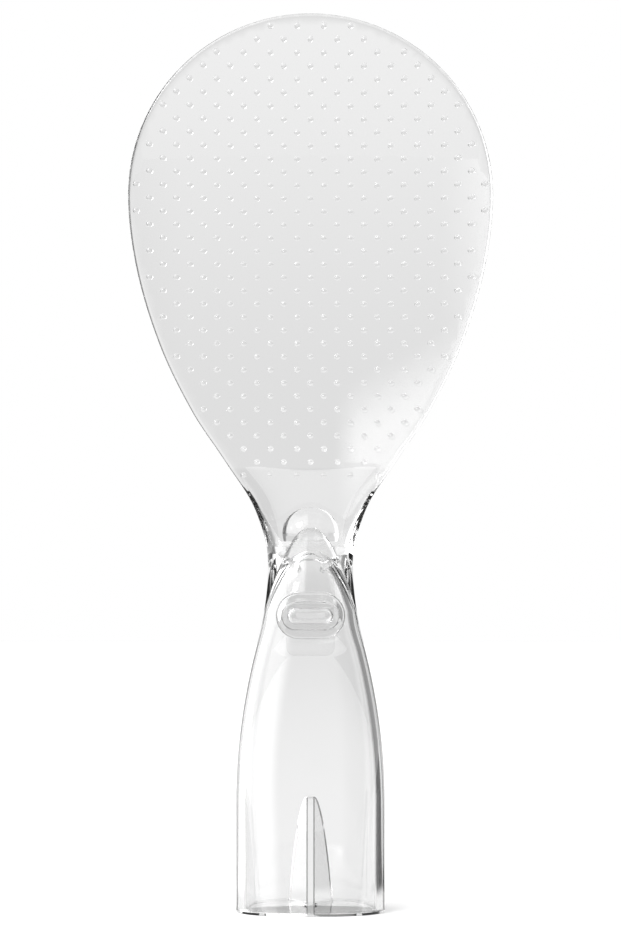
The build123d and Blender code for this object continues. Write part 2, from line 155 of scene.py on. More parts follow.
world = bpy.data.worlds.new("studio")
scene.world = world
world.use_nodes = True
world.node_tree.nodes.clear()
studio = Value(world.node_tree)
place = studio.node("ShaderNodeTexCoord", {}, "Generated")
aside = studio.node("ShaderNodeSeparateXYZ", {"Vector": place}, "X")
away = studio.node("ShaderNodeSeparateXYZ", {"Vector": place}, "Y")
up = studio.node("ShaderNodeSeparateXYZ", {"Vector": place}, "Z")
card = up.ramp(*HORIZON_EDGE, HORIZON_LEVEL, CARD_LEVEL)
level = FRONT_LEVEL + away.ramp(*FRONT_EDGE) * (card - FRONT_LEVEL)
level = level.towards(ABOVE_LEVEL, up.ramp(*ABOVE_EDGE))
level = level.towards(RIGHT_LEVEL, aside.ramp(*RIGHT_EDGE))
level = level.towards(LEFT_LEVEL, aside.ramp(*LEFT_EDGE))
reflector = away.ramp(*REFLECTOR_FRONT_EDGE) * aside.ramp(*REFLECTOR_SIDE_EDGE)
reflector = reflector * (up - aside * REFLECTOR_SLANT).ramp(*REFLECTOR_LOW_EDGE)
level = level.towards(REFLECTOR_LEVEL, reflector)
seen = studio.node("ShaderNodeLightPath", {}, "Is Camera Ray")
level = level.towards(1, seen)
sky = studio.node("ShaderNodeBackground", {"Color": level, "Strength": 1.0})
studio.node("ShaderNodeOutputWorld", {"Surface": sky})

SOFTBOX_SIZE = 0.4
SOFTBOX_PLACE = (-0.7, -0.9, 0.8)
SOFTBOX_POWER = 4.0
softbox = bpy.data.lights.new("softbox", "AREA")
softbox.size = SOFTBOX_SIZE
softbox.energy = SOFTBOX_POWER
lamp = bpy.data.objects.new("softbox", softbox)
lamp.location = SOFTBOX_PLACE
aim = Vector((0, 0, VIEW_HEIGHT)) - lamp.location
lamp.rotation_euler = aim.to_track_quat("-Z", "Y").to_euler()
scene.collection.objects.link(lamp)

# Floor: a matt white board on which the paddle stands. Seen through the plastic or in it, it is unlit and
# glows with painted light and shade instead, levels that change between two distances in metres (an edge) or
# between two bearings in radians (a turn).
FLOOR_WIDTH = 3.0
FLOOR_DROP = 0.0001
FLOOR_COLOUR = 0.8
FLOOR_GLOW = 0.35
FLOOR_NEAR_LEVEL = 0.87
FLOOR_FAR_LEVEL = 0.76
FLOOR_LEFT_LEVEL = 1.4
FLOOR_RIGHT_LEVEL = 0.03
FLOOR_BESIDE_LEVEL = 0.5
FLOOR_FAR_EDGE = (0.3, 1.4)
FLOOR_FRONT_EDGE = (0.0, -0.1)
FLOOR_SIDES_EDGE = (0.04, 0.08)
FLOOR_SIDES_TURN = (0.5, 0.62)
FLOOR_BESIDE_TURN = (1.1, 1.25)
FLOOR_ROUGHNESS = 0.9
FLOOR_GRAIN_SCALE = 40.0
FLOOR_GRAIN = 0.02
floor_finish = bpy.data.materials.new("white_floor")
floor_finish.use_nodes = True
floor_finish.node_tree.nodes.clear()
board = Value(floor_finish.node_tree)
grain = board.node("ShaderNodeTexNoise", {"Scale": FLOOR_GRAIN_SCALE, "Detail": 3.0}, "Fac")
direct = board.node("ShaderNodeLightPath", {}, "Is Camera Ray")
through = board.node("ShaderNodeLightPath", {}, "Is Transmission Ray")
mirrored = board.node("ShaderNodeLightPath", {}, "Is Glossy Ray")
indirect = through.maths("MAXIMUM", through, mirrored)
spot = board.node("ShaderNodeTexCoord", {}, "Object")
spot_aside = board.node("ShaderNodeSeparateXYZ", {"Vector": spot}, "X")
spot_away = board.node("ShaderNodeSeparateXYZ", {"Vector": spot}, "Y")
bearing = spot.maths("ARCTAN2", spot_aside, spot_away)
reach = board.node("ShaderNodeVectorMath", {0: spot}, "Value", operation="LENGTH").ramp(*FLOOR_SIDES_EDGE)
bearing_left = 0 - bearing
# Painted light and shade of the room for rays through or off the plastic: bright to the left, dark to the
# right, greyer far off.
painted_room_light = spot_away.ramp(*FLOOR_FAR_EDGE, FLOOR_NEAR_LEVEL, FLOOR_FAR_LEVEL)
painted_room_light = painted_room_light.towards(FLOOR_RIGHT_LEVEL, bearing.ramp(*FLOOR_SIDES_TURN) * reach)
painted_room_light = painted_room_light.towards(FLOOR_LEFT_LEVEL, bearing_left.ramp(*FLOOR_SIDES_TURN) * reach)
painted_room_light = painted_room_light.towards(FLOOR_NEAR_LEVEL, bearing.ramp(*FLOOR_BESIDE_TURN))
painted_room_light = painted_room_light.towards(FLOOR_BESIDE_LEVEL, bearing_left.ramp(*FLOOR_BESIDE_TURN) * reach)
painted_room_light = painted_room_light.towards(FRONT_LEVEL, spot_away.ramp(*FLOOR_FRONT_EDGE))
# White floor for the camera, plus the painted light and shade for rays through or off the plastic, where the
# floor takes no light of its own.
glow = direct * FLOOR_GLOW + indirect * painted_room_light
bare = grain.between(grey(FLOOR_COLOUR), grey(FLOOR_COLOUR + FLOOR_GRAIN))
finish = board.node(
    "ShaderNodeBsdfPrincipled",
    {
        "Base Color": indirect.between(bare, grey(0.0)),
        "Roughness": FLOOR_ROUGHNESS,
        "Emission Color": glow,
        "Emission Strength": 1.0,
    },
)
board.node("ShaderNodeOutputMaterial", {"Surface": finish})
bpy.ops.mesh.primitive_plane_add(size=FLOOR_WIDTH, location=(0, 0, cad_low.z - FLOOR_DROP))
floor = bpy.context.object
floor.name = "floor"
floor.data.materials.append(floor_finish)


# Clear plastic, a styrene type with polished faces: hardly tinted, with the faint waves that the flow of the
# melt leaves in a mould, and a little haze where hands and washing have dulled the polish.
CLEAR_IOR = 1.52
WAVE_LENGTH = 0.02
WAVE_HEIGHT = 0.00002
WAVE_TINT = 0.01
WAVE_STRETCH = (1.0, 1.0, 0.3)
HAZE_SCALE = 6 / WAVE_LENGTH
HAZE_ROUGHNESS = 0.03
HAZE_EDGE = (0.4, 0.8)
# The scoop's thick root gets a darker tint below one height, which is painted shade.
THIN_TINT = 0.97
ROOT_PAINTED_SHADE_TINT = 0.9
ROOT_SHADE_TOP = 0.1012
ROOT_SHADE_FADE = 0.001


def clear_plastic(name, low_tint):
    """Plastic with low_tint below the height where the scoop's thick root ends. A darker low_tint there is
    painted shade on the root.
    """
    material = bpy.data.materials.new(name)
    material.use_nodes = True
    material.node_tree.nodes.clear()
    tree = Value(material.node_tree)
    place = tree.node("ShaderNodeTexCoord", {}, "Object")
    flow = tree.node("ShaderNodeMapping", {"Vector": place, "Scale": WAVE_STRETCH})
    height = tree.node("ShaderNodeSeparateXYZ", {"Vector": place}, "Z")
    wave = tree.node("ShaderNodeTexNoise", {"Vector": flow, "Scale": 1 / WAVE_LENGTH, "Detail": 1.0}, "Fac")
    haze = tree.node("ShaderNodeTexNoise", {"Vector": place, "Scale": HAZE_SCALE, "Detail": 4.0}, "Fac")
    bump = tree.node("ShaderNodeBump", {"Height": wave, "Distance": WAVE_HEIGHT, "Strength": 1.0})
    tint = height.ramp(ROOT_SHADE_TOP - ROOT_SHADE_FADE, ROOT_SHADE_TOP, low_tint, THIN_TINT)
    body = tree.node(
        "ShaderNodeBsdfPrincipled",
        {
            "Base Color": tint + wave * WAVE_TINT,
            "Roughness": haze.ramp(*HAZE_EDGE, 0.0, HAZE_ROUGHNESS),
            "IOR": CLEAR_IOR,
            "Transmission Weight": 1.0,
            "Normal": bump,
        },
    )
    tree.node("ShaderNodeOutputMaterial", {"Surface": body})
    return material


finishes = {
    "clear_blade": clear_plastic("clear_blade", ROOT_PAINTED_SHADE_TINT),
    "clear_shell": clear_plastic("clear_shell", THIN_TINT),
    "clear_fitting": clear_plastic("clear_fitting", THIN_TINT),
}

# Mesh tools for all pieces. Each moulding is built as closed skins that are joined or cut by each other, and
# corners sharper than TURN_SHARP stay sharp under smooth shading.
TURN_SHARP = math.radians(32)
MERGE_REACH = 1e-7
EDGE_STEPS = 6


def spread(first, last, count):
    """Evenly spaced numbers from first to last."""
    return [first + (last - first) * k / (count - 1) for k in range(count)]


def rounding(radius, steps=EDGE_STEPS):
    """Inset and fall along a quarter round, from the face over the edge to the side."""
    turns = spread(0, math.pi / 2, steps)
    return [(radius * (1 - math.sin(turn)), radius * (1 - math.cos(turn))) for turn in turns]


def skinned(name, points, faces):
    """New object in the scene, made from these points and faces."""
    mesh = bpy.data.meshes.new(name)
    mesh.from_pydata([tuple(point) for point in points], [], faces)
    piece = bpy.data.objects.new(name, mesh)
    scene.collection.objects.link(piece)
    return piece


def outward(piece):
    """Joins doubled points and turns all faces of a closed skin outwards."""
    mesh = bmesh.new()
    mesh.from_mesh(piece.data)
    bmesh.ops.remove_doubles(mesh, verts=mesh.verts, dist=MERGE_REACH)
    bmesh.ops.recalc_face_normals(mesh, faces=mesh.faces)
    mesh.to_mesh(piece.data)
    mesh.free()
    return piece


def bands(rows, around):
    """Faces between each two neighbouring rings of as many points each."""
    return [
        (row + k, row + (k + 1) % around, row + around + (k + 1) % around, row + around + k)
        for row in range(0, (rows - 1) * around, around)
        for k in range(around)
    ]


def lofted(name, rings):
    """Closed skin through rings of as many points each. Both end rings are filled."""
    around = len(rings[0])
    last = (len(rings) - 1) * around
    faces = [tuple(range(around)), tuple(range(last, last + around)), *bands(len(rings), around)]
    return outward(skinned(name, [point for ring in rings for point in ring], faces))


def prism(name, outline, front, back):
    """Solid along Y with this outline of (x, z) points."""
    return lofted(name, [[(x, y, z) for x, z in outline] for y in (front, back)])


def block(name, low, high):
    """Box between two corners."""
    outline = [(low[0], low[2]), (high[0], low[2]), (high[0], high[2]), (low[0], high[2])]
    return prism(name, outline, low[1], high[1])


def combined(piece, *steps):
    """The piece after each step of (operation, other solid) in turn. The other solids are used up."""
    for operation, other in steps:
        step = piece.modifiers.new(operation, "BOOLEAN")
        step.operation = operation
        step.solver = "MANIFOLD"
        step.object = other
    bpy.context.view_layer.update()
    result = bpy.data.meshes.new_from_object(piece.evaluated_get(bpy.context.evaluated_depsgraph_get()))
    piece.modifiers.clear()
    piece.data = result
    for _, other in steps:
        bpy.data.objects.remove(other)
    return piece


def finished(piece, name, slot, node):
    """Smooth shading with sharp corners, the slot's plastic, and the piece takes the CAD node's place."""
    piece.name = name
    piece.data.materials.clear()
    piece.data.materials.append(finishes[slot])
    piece.data.shade_smooth()
    piece.data.set_sharp_from_angle(angle=TURN_SHARP)
    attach(piece, "root")
    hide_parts(node)


# The paddle's outline from the front: a round scoop, slack sides down to the waist, and a handle that
# swells again towards the foot, in two tangent arcs.
SCOOP_HALF_WIDTH = cad_high.x
OVERALL_HEIGHT = cad_high.z
WIDEST_HEIGHT = OVERALL_HEIGHT - SCOOP_HALF_WIDTH
WAIST_HALF_WIDTH = 0.0097
WAIST_HEIGHT = 0.079
FOOT_HALF_WIDTH = 0.017
FOOT_STRAIGHT_HEIGHT = 0.024
HANDLE_SIDE_RADIUS = 0.143
SIDE_RISE_SHARES = (0.0, 0.15, 0.28, 0.41, 0.59, 0.80, 1.0)
SIDE_GAIN_SHARES = (0.0, 0.097, 0.312, 0.54, 0.772, 0.94, 1.0)


def share_curve(share):
    """Gain in width at a share of the rise, smooth through the listed shares."""
    last = len(SIDE_RISE_SHARES) - 1
    k = max(i for i in range(last) if SIDE_RISE_SHARES[i] <= share)

    def slope(i):
        if i in (0, last):
            return 0
        rise = SIDE_RISE_SHARES[i + 1] - SIDE_RISE_SHARES[i - 1]
        return (SIDE_GAIN_SHARES[i + 1] - SIDE_GAIN_SHARES[i - 1]) / rise

    step = SIDE_RISE_SHARES[k + 1] - SIDE_RISE_SHARES[k]
    t = (share - SIDE_RISE_SHARES[k]) / step
    value = (1 + 2 * t) * (1 - t) ** 2 * SIDE_GAIN_SHARES[k] + t**2 * (3 - 2 * t) * SIDE_GAIN_SHARES[k + 1]
    return value + step * (t * (1 - t) ** 2 * slope(k) - t**2 * (1 - t) * slope(k + 1))


def half_width(z):
    """Half the width of the whole paddle's outline at height z."""
    if z >= WIDEST_HEIGHT:
        return math.sqrt(max(SCOOP_HALF_WIDTH**2 - (z - WIDEST_HEIGHT) ** 2, 0))
    if z >= WAIST_HEIGHT:
        share = (z - WAIST_HEIGHT) / (WIDEST_HEIGHT - WAIST_HEIGHT)
        return WAIST_HALF_WIDTH + (SCOOP_HALF_WIDTH - WAIST_HALF_WIDTH) * share_curve(share)
    if z <= FOOT_STRAIGHT_HEIGHT:
        return FOOT_HALF_WIDTH
    rise = WAIST_HEIGHT - FOOT_STRAIGHT_HEIGHT
    turn = 2 * math.atan((FOOT_HALF_WIDTH - WAIST_HALF_WIDTH) / rise)
    waist_radius = rise / math.sin(turn) - HANDLE_SIDE_RADIUS
    up = z - FOOT_STRAIGHT_HEIGHT
    if up <= HANDLE_SIDE_RADIUS * math.sin(turn):
        return FOOT_HALF_WIDTH - HANDLE_SIDE_RADIUS + math.sqrt(HANDLE_SIDE_RADIUS**2 - up**2)
    return WAIST_HALF_WIDTH + waist_radius - math.sqrt(waist_radius**2 - (WAIST_HEIGHT - z) ** 2)


# Scoop: one clear moulding, a sheet of even thickness dished both ways with a rounded rim, and small round
# nubs in staggered rows on both faces, which keep rice from sticking.
SHEET_THICKNESS = 0.002
SHEET_EDGE_RADIUS = 0.0007
DISH_RADIUS_ACROSS = 0.13
DISH_RADIUS_ALONG = 0.3
DISH_CENTRE_HEIGHT = 0.145
DISH_CENTRE_BACK = 0.006
SEAM_HEIGHT = 0.083
SHEET_FOOT_HEIGHT = SEAM_HEIGHT - 0.003
SIDE_POINTS = 141
TOP_POINTS = 221
FOOT_POINTS = 25

NUB_PITCH = 0.00614
NUB_ROW_STEP = 0.00303
NUB_TOP_ROW_DROP = 0.0027
FRONT_NUBS_FOOT_HEIGHT = 0.0986
BACK_NUBS_FOOT_HEIGHT = 0.107
FRONT_NUB_RADIUS = 0.0007
FRONT_NUB_HEIGHT = 0.00045
BACK_NUB_RADIUS = 0.0006
BACK_NUB_HEIGHT = 0.00042
NUB_EDGE_MARGIN = 0.00162
NUB_RINGS = (0.3, 0.55, 0.78, 1.0)
NUB_RING_POINTS = 12
PLAIN_STEP_ACROSS = NUB_PITCH / 4
PLAIN_STEP_DOWN = NUB_ROW_STEP / 2
PLAIN_NUB_GAP = 1.4
LEAN_STEP = 0.0001
SIDE_SHARE = 0.999
SAME_SPOT = 1e-8
INSIDE_RIM = 1


def dish_y(x, z, back):
    """Place along Y of the surface that lies back behind the sheet's hollow face, where it passes (x, z)."""
    reach = DISH_RADIUS_ALONG - DISH_RADIUS_ACROSS + math.sqrt((DISH_RADIUS_ACROSS + back) ** 2 - x**2)
    return DISH_CENTRE_BACK - DISH_RADIUS_ALONG + math.sqrt(reach**2 - (z - DISH_CENTRE_HEIGHT) ** 2)


def dish_normal(x, z, back):
    """Direction backwards, square to that surface."""
    side_turn = math.asin(x / (DISH_RADIUS_ACROSS + back))
    reach = DISH_RADIUS_ALONG - DISH_RADIUS_ACROSS + (DISH_RADIUS_ACROSS + back) * math.cos(side_turn)
    rise_turn = math.asin((z - DISH_CENTRE_HEIGHT) / reach)
    level = math.cos(side_turn)
    return Vector((math.sin(side_turn), level * math.cos(rise_turn), level * math.sin(rise_turn)))


def lean(z):
    """Gain in half width per rise at height z."""
    return (half_width(z + LEAN_STEP) - half_width(z)) / LEAN_STEP


def inward(x, z, inset):
    """Point of the scoop's outline moved square to the outline by inset, towards the scoop's middle."""
    if z >= WIDEST_HEIGHT:
        share = 1 - inset / SCOOP_HALF_WIDTH
        return x * share, WIDEST_HEIGHT + (z - WIDEST_HEIGHT) * share
    if abs(x) < half_width(z) * SIDE_SHARE:
        return x * (1 - inset / half_width(z)), z
    along = inset / math.hypot(1, lean(z))
    return math.copysign(abs(x) - along, x), z + along * lean(z)


def edge_gap(x, z):
    """Least distance from (x, z) to the outline, less than zero outside it."""
    if z >= WIDEST_HEIGHT:
        return SCOOP_HALF_WIDTH - math.hypot(x, z - WIDEST_HEIGHT)
    return (half_width(z) - abs(x)) / math.hypot(1, lean(z))


side = [(half_width(z), z) for z in spread(SHEET_FOOT_HEIGHT, WIDEST_HEIGHT, SIDE_POINTS)]
top = [
    (SCOOP_HALF_WIDTH * math.cos(turn), WIDEST_HEIGHT + SCOOP_HALF_WIDTH * math.sin(turn))
    for turn in spread(0, math.pi, TOP_POINTS)
]
foot = [(x, SHEET_FOOT_HEIGHT) for x in spread(-side[0][0], side[0][0], FOOT_POINTS)]
outline = side + top[1:-1] + [(-x, z) for x, z in reversed(side)] + foot[1:-1]


def nub_places(foot_height):
    """Middle of each nub: rows across the scoop, every second one moved by half a pitch."""
    places = []
    row = 0
    z = OVERALL_HEIGHT - NUB_TOP_ROW_DROP
    while z > foot_height:
        x = NUB_PITCH / 2 if row % 2 == 0 else 0
        while edge_gap(x, z) > NUB_EDGE_MARGIN:
            places += [(side, z) for side in sorted({x, -x})]
            x += NUB_PITCH
        row += 1
        z = OVERALL_HEIGHT - NUB_TOP_ROW_DROP - row * NUB_ROW_STEP
    return places


def plain_places():
    """Points of the plain sheet: a grid in step with the nubs, up to a little inside the rim."""
    low, high = SHEET_FOOT_HEIGHT + SHEET_EDGE_RADIUS, OVERALL_HEIGHT - NUB_TOP_ROW_DROP
    across = math.ceil(SCOOP_HALF_WIDTH / PLAIN_STEP_ACROSS)
    down = math.ceil((high - low) / PLAIN_STEP_DOWN)
    grid = [
        (i * PLAIN_STEP_ACROSS, high - k * PLAIN_STEP_DOWN)
        for i in range(-across, across + 1)
        for k in range(down)
    ]
    return [(x, z) for x, z in grid if z >= low and edge_gap(x, z) >= 2 * SHEET_EDGE_RADIUS]


def nubbed_face(back, facing, foot_height, nub_radius, nub_height):
    """One face of the sheet up to its rounded edge, with a round swelling at each nub."""
    flat = [inward(x, z, SHEET_EDGE_RADIUS) for x, z in outline]
    rise = [0.0] * len(flat)
    rim = [(k, (k + 1) % len(flat)) for k in range(len(flat))]
    places = nub_places(foot_height)
    tree = kdtree.KDTree(len(places))
    for k, (x, z) in enumerate(places):
        tree.insert((x, z, 0), k)
        flat.append((x, z))
        rise.append(nub_height)
        for share in NUB_RINGS:
            for turn in spread(0, 2 * math.pi, NUB_RING_POINTS + 1)[:-1]:
                reach = share * nub_radius
                flat.append((x + reach * math.cos(turn), z + reach * math.sin(turn)))
                rise.append(nub_height * (1 - share**2))
    tree.balance()
    plain = [(x, z) for x, z in plain_places() if tree.find((x, z, 0))[2] > PLAIN_NUB_GAP * nub_radius]
    flat += plain
    rise += [0.0] * len(plain)
    corners = [Vector(spot) for spot in flat]
    spots, _, faces, sources, _, _ = delaunay_2d_cdt(corners, rim, [], INSIDE_RIM, SAME_SPOT)
    points = []
    for spot, source in zip(spots, sources):
        out = dish_normal(spot.x, spot.y, back) * facing * max((rise[k] for k in source), default=0)
        points.append(Vector((spot.x, dish_y(spot.x, spot.y, back), spot.y)) + out)
    return points, faces


def sheet():
    """The dished sheet as a closed skin: both nubbed faces and the rounded edge between them."""
    edge = rounding(SHEET_EDGE_RADIUS)
    steps = [(inset, 0, fall) for inset, fall in edge]
    steps += [(inset, SHEET_THICKNESS, -fall) for inset, fall in reversed(edge)]
    points = []
    for inset, back, fall in steps:
        for spot in outline:
            x, z = inward(*spot, inset)
            points.append((x, dish_y(x, z, back) + fall, z))
    faces = bands(len(steps), len(outline))
    for sides in (
        (0, -1, FRONT_NUBS_FOOT_HEIGHT, FRONT_NUB_RADIUS, FRONT_NUB_HEIGHT),
        (SHEET_THICKNESS, 1, BACK_NUBS_FOOT_HEIGHT, BACK_NUB_RADIUS, BACK_NUB_HEIGHT),
    ):
        more, more_faces = nubbed_face(*sides)
        faces += [tuple(len(points) + k for k in face) for face in more_faces]
        points += more
    return outward(skinned("scoop", points, faces))


# Root of the scoop: the same moulding swells towards the handle, with a trough between two side rails, a
# rounded nose in the trough, and a flat tang with two pin holes and a slot that hangs into the handle.
CUT_SPARE = 0.02
SECTION_POWER = 2.5
RING_POINTS = 96
SEAM_BACK_DEPTH = 0.0085
PARTING_Y = -0.003
ROOT_TOP_HEIGHT = SEAM_HEIGHT + 0.021
ROOT_EDGE_STEP = 0.00025
ROOT_FRONT_TRIM = 0.0003
ROOT_TOP_FRONT_DEPTH = 0.0009
ROOT_TOP_BACK_DEPTH = 0.0016
ROOT_RINGS = 49
TROUGH_FOOT_HEIGHT = SEAM_HEIGHT + 0.0012
TROUGH_TOP_HEIGHT = SEAM_HEIGHT + 0.015
TROUGH_FOOT_HALF_WIDTH = 0.0068
TROUGH_TOP_HALF_WIDTH = 0.0156
TROUGH_SINK = 0.0005
NOSE_TOP_HEIGHT = SEAM_HEIGHT + 0.009
NOSE_CENTRE_HEIGHT = SEAM_HEIGHT + 0.0025
NOSE_HALF_WIDTH = 0.0067
TANG_HALF_WIDTH = 0.0056
TANG_THICKNESS = 0.0024
TANG_FRONT_Y = PARTING_Y + 0.0004
TANG_LENGTH = 0.025
TANG_CORNER_RADIUS = 0.002
PIN_RADIUS = 0.0008
PIN_CLEARANCE = 0.00005
PIN_HALF_SPACING = 0.0032
PIN_HEIGHT = SEAM_HEIGHT - 0.0045
BOSS_HEIGHT = SEAM_HEIGHT - 0.0155
LEG_LENGTH = 0.0068
LEG_THICKNESS = 0.0014
LEG_CLEARANCE = 0.00008
SEAM_MIDDLE_Y = dish_y(half_width(SEAM_HEIGHT) - ROOT_EDGE_STEP, SEAM_HEIGHT, SHEET_THICKNESS / 2)


def section_point(turn):
    """Point of a section one wide and one deep each way, between ellipse and rectangle."""
    shares = math.cos(turn), math.sin(turn)
    return [math.copysign(abs(share) ** (2 / SECTION_POWER), share) for share in shares]


def ring(z, wide, front, back, middle):
    """Rounded section at height z, between ellipse and rectangle, about its widest place."""
    points = []
    for turn in spread(0, 2 * math.pi, RING_POINTS + 1)[:-1]:
        across, out = section_point(turn)
        points.append((wide * across, middle + out * (back if out > 0 else front), z))
    return points


def root():
    """The swelling between sheet and seam, before the trough is cut into it."""
    rings = []
    for z in spread(SHEET_FOOT_HEIGHT, ROOT_TOP_HEIGHT, ROOT_RINGS):
        wide = half_width(z) - ROOT_EDGE_STEP
        rise = (z - SEAM_HEIGHT) / (ROOT_TOP_HEIGHT - SEAM_HEIGHT)
        front = SEAM_MIDDLE_Y - PARTING_Y + ROOT_FRONT_TRIM
        back = PARTING_Y + SEAM_BACK_DEPTH - SEAM_MIDDLE_Y
        front += (ROOT_TOP_FRONT_DEPTH - front) * rise
        back += (ROOT_TOP_BACK_DEPTH - back) * rise
        rings.append(ring(z, wide, front, back, dish_y(wide, z, SHEET_THICKNESS / 2)))
    return lofted("root", rings)


def trough():
    """Cutter whose back follows the sheet's hollow face, a little below it."""
    slope = (TROUGH_TOP_HALF_WIDTH - TROUGH_FOOT_HALF_WIDTH) / (TROUGH_TOP_HEIGHT - TROUGH_FOOT_HEIGHT)
    rings = []
    for z in spread(TROUGH_FOOT_HEIGHT, ROOT_TOP_HEIGHT + CUT_SPARE / 4, ROOT_RINGS):
        half = TROUGH_FOOT_HALF_WIDTH + slope * (z - TROUGH_FOOT_HEIGHT)
        floor_line = [(x, dish_y(x, z, TROUGH_SINK), z) for x in spread(-half, half, FOOT_POINTS)]
        rings.append([(-half, -CUT_SPARE, z), *floor_line, (half, -CUT_SPARE, z)])
    return lofted("trough", rings)


def ball(name, middle, reach):
    """Smooth ball about a point, with its own reach along each axis."""
    mesh = bmesh.new()
    place = Matrix.Translation(middle) @ Matrix.Diagonal((*reach, 1.0))
    segments = {"u_segments": RING_POINTS, "v_segments": RING_POINTS // 2}
    bmesh.ops.create_uvsphere(mesh, **segments, radius=1, matrix=place)
    piece = skinned(name, [], [])
    mesh.to_mesh(piece.data)
    mesh.free()
    return piece


def oval_outline(length, width, z):
    """Outline of a slot with round ends, lying level about the height z."""
    reach = (length - width) / 2
    arc = spread(-math.pi / 2, math.pi / 2, RING_POINTS // 4)
    right = [(reach + width / 2 * math.cos(turn), z + width / 2 * math.sin(turn)) for turn in arc]
    return right + [(-x, z + z - height) for x, height in right]


def cutter(outline):
    """Solid along Y that is long enough to cut right through."""
    return prism("cutter", outline, -CUT_SPARE, CUT_SPARE)


def pin(side, grow, front, back):
    """Round pin along Y on one side, or its hole where grow is the clearance."""
    size = 2 * (PIN_RADIUS + grow)
    outline = [(x + side * PIN_HALF_SPACING, z) for x, z in oval_outline(size, size, PIN_HEIGHT)]
    return prism("pin", outline, front, back)


def pin_cuts(front, back):
    """Steps that cut the holes of both pins."""
    return [("DIFFERENCE", pin(side, PIN_CLEARANCE, front, back)) for side in (-1, 1)]


leg_slot = oval_outline(LEG_LENGTH + 2 * LEG_CLEARANCE, LEG_THICKNESS + 2 * LEG_CLEARANCE, BOSS_HEIGHT)


def tang():
    """The flat tang with its pin holes and the slot for the stud's leg."""
    low, high = SEAM_HEIGHT - TANG_LENGTH, SEAM_HEIGHT + TANG_THICKNESS
    corner = [(TANG_HALF_WIDTH - inset, low + rise) for rise, inset in rounding(TANG_CORNER_RADIUS)]
    right = [(TANG_HALF_WIDTH, high), *corner]
    outline = right + [(-x, z) for x, z in reversed(right)]
    back = TANG_FRONT_Y + TANG_THICKNESS
    return combined(
        prism("tang", outline, TANG_FRONT_Y, back),
        *pin_cuts(-CUT_SPARE, CUT_SPARE),
        ("DIFFERENCE", cutter(leg_slot)),
    )


nose_middle = dish_y(0, NOSE_TOP_HEIGHT, 0)
nose_front_reach = nose_middle - PARTING_Y + ROOT_FRONT_TRIM
nose_reach = (NOSE_HALF_WIDTH, nose_front_reach, NOSE_TOP_HEIGHT - NOSE_CENTRE_HEIGHT)
below_seam = (-CUT_SPARE, -CUT_SPARE, SEAM_HEIGHT - CUT_SPARE), (CUT_SPARE, CUT_SPARE, SEAM_HEIGHT)
before_parting = (-CUT_SPARE, -CUT_SPARE, CUT_SPARE / 2), (CUT_SPARE, PARTING_Y, ROOT_TOP_HEIGHT)
scoop = combined(
    sheet(),
    ("UNION", combined(root(), ("DIFFERENCE", trough()))),
    ("UNION", ball("nose", (0, nose_middle, NOSE_CENTRE_HEIGHT), nose_reach)),
    ("DIFFERENCE", block("below", *below_seam)),
    ("DIFFERENCE", block("before", *before_parting)),
    ("UNION", tang()),
)
finished(scoop, "scoop", "clear_blade", "blade")

# Handle: two clear half shells that meet in a flat parting plane. The front one is a hood that rises to an
# arch over the scoop's nose and has an oval boss; the back one flares towards the foot and has a V-shaped
# fold pressed in there. Welded faces keep a hair's gap, so that each clear wall is a skin of its own.
CONTACT_GAP = 0.00003
WALL = 0.0018
ARCH_APEX_HEIGHT = SEAM_HEIGHT + 0.0044
ARCH_FOOT_HEIGHT = SEAM_HEIGHT - 0.015
ARCH_TIP_FLAT = 0.0001
ARCH_CAVITY_DROP = 0.0059
SHOULDER_HEIGHT = SEAM_HEIGHT - 0.018
SHOULDER_FRONT_DEPTH = 0.0082
FOOT_FRONT_DEPTH = 0.014
FOOT_BACK_DEPTH = 0.02
BACK_FLARE_POWER = 1.3
TOP_WALL = 0.002
SHELL_RINGS = 60
PLATE_THICKNESS = 0.0005
FOLD_HEIGHT = 0.025
FOLD_DEPTH = 0.012
FOLD_HALF_WIDTH = 0.0056
FOLD_NOSE_HALF_WIDTH = 0.0007
FOLD_WALL = 0.0003
PIN_FRONT_Y = PARTING_Y - 0.0044
PIN_BACK_Y = PARTING_Y + 0.0074
BOSS_LENGTH = 0.0156
BOSS_WIDTH = 0.0106
BOSS_FRONT_Y = PARTING_Y - 0.0092
BOSS_EDGE_RADIUS = 0.0006
STUD_FRONT_Y = BOSS_FRONT_Y - 0.0006
WINDOW_LENGTH = 0.0136
WINDOW_WIDTH = 0.0068
WINDOW_FLOOR = 0.0018
WINDOW_FLOOR_Y = STUD_FRONT_Y + 0.003


def crowded(low, high, count):
    """Heights from low to high that crowd towards the top, for a form that closes there."""
    return [high - (high - low) * (1 - k / (count - 1)) ** 2 for k in range(count)]


def arch_half_width(z, drop):
    """Half the width of the front shell: a parabola under the apex that runs into the outline lower down."""
    foot, apex = ARCH_FOOT_HEIGHT - drop, ARCH_APEX_HEIGHT - drop
    if z <= foot:
        return half_width(z)
    return half_width(ARCH_FOOT_HEIGHT) * math.sqrt((apex - z) / (apex - foot))


def front_depth(z, drop, inset):
    """How far the front face stands before the parting plane. drop and inset give the cavity's."""
    shoulder = SHOULDER_HEIGHT - drop
    flare = (FOOT_FRONT_DEPTH - SHOULDER_FRONT_DEPTH) * (1 - min(z, shoulder) / SHOULDER_HEIGHT)
    depth = SHOULDER_FRONT_DEPTH + flare - inset
    if z <= shoulder:
        return depth
    return depth * math.sqrt(1 - ((z - shoulder) / (ARCH_APEX_HEIGHT - SHOULDER_HEIGHT)) ** 2)


def back_depth(z):
    """How far the back face stands behind the parting plane."""
    share = max(1 - z / SEAM_HEIGHT, 0)
    return SEAM_BACK_DEPTH + (FOOT_BACK_DEPTH - SEAM_BACK_DEPTH) * share**BACK_FLARE_POWER


